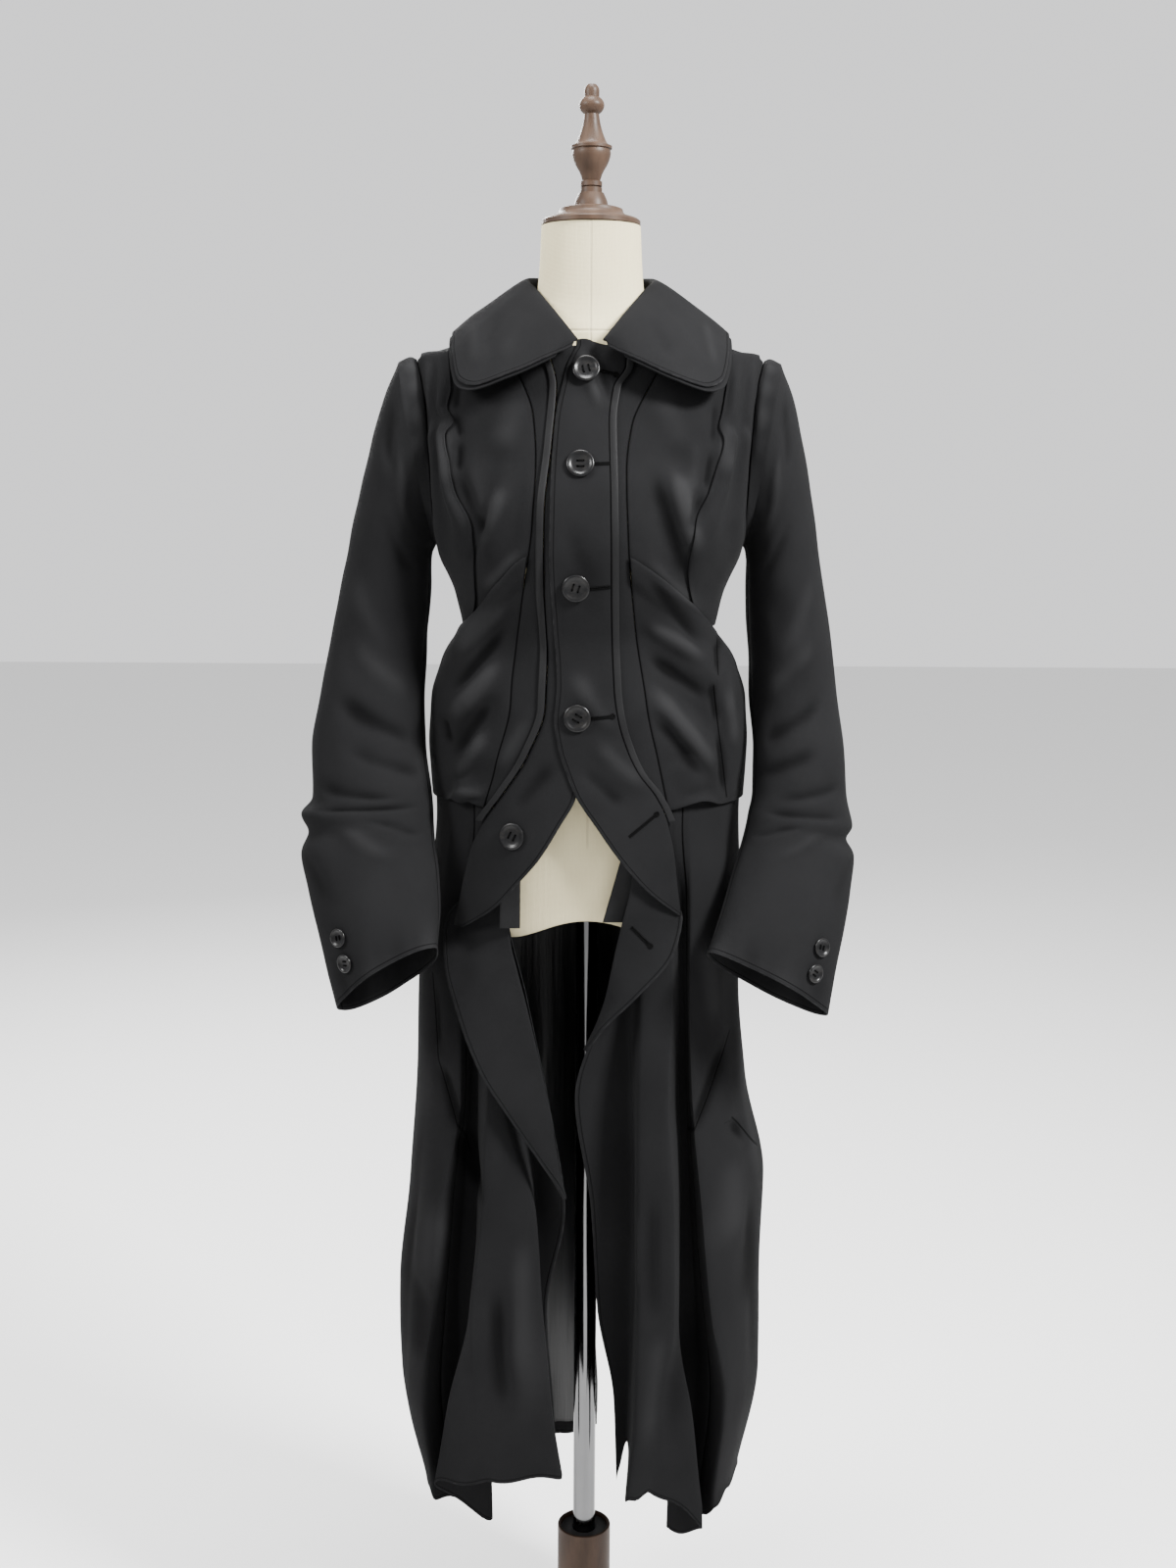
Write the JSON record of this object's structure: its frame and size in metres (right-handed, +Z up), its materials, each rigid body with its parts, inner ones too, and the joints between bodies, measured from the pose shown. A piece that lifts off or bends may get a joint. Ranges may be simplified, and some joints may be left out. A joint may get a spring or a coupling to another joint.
{
  "type": "wool coat on a limbless dress form with a pole stand",
  "caption": "Long fitted wool coat with a wide collar, draped hips and a pleated open skirt, worn by a limbless dress form on a pole and a round base.",
  "frame": {"origin": "centre of the base's underside, on the floor", "axes": "+Z up along the pole, -Y out of the coat's front, +X towards the wearer's left"},
  "size_m": [0.5723, 0.34, 1.7657],
  "materials": {
    "wool": "matte, fulled wool with a faint twill",
    "satin": "soft sheen",
    "lining": "glossy lining cloth",
    "button": "polished",
    "linen": "stretched plain weave",
    "walnut": "dark stain under satin varnish",
    "chrome_tube": "polished",
    "rubber_ring": "matte"
  },
  "bodies": {
    "root": {"back_l": "wool", "back_r": "wool", "base_disc": "walnut", "base_post": "walnut", "binding_l": "satin", "binding_r": "satin", "button_1": "button", "button_2": "button", "button_3": "button", "button_4": "button", "button_5": "button", "chest_l": "wool", "chest_r": "wool", "collar": "wool", "collar_under": "wool", "cuff_button_l1": "button", "cuff_button_l2": "button", "cuff_button_r1": "button", "cuff_button_r2": "button", "drape_l": "wool", "drape_r": "wool", "finial": "walnut", "form_torso": "linen", "front_l": "wool", "front_r": "wool", "hip_l": "wool", "hip_r": "wool", "lining_l": "lining", "lining_r": "lining", "neck_cap": "walnut", "placket_l": "wool", "placket_r": "wool", "pole": "chrome_tube", "post_collar": "rubber_ring", "side_back_l": "wool", "side_back_r": "wool", "skirt_back_l": "wool", "skirt_back_r": "wool", "skirt_front_l": "wool", "skirt_front_r": "wool", "skirt_side_l": "wool", "skirt_side_r": "wool", "sleeve_top_l": "wool", "sleeve_top_r": "wool", "sleeve_under_l": "wool", "sleeve_under_r": "wool", "tab_l": "satin", "tab_r": "satin", "turnback_l": "wool", "turnback_r": "wool"}
  },
  "joints": []
}
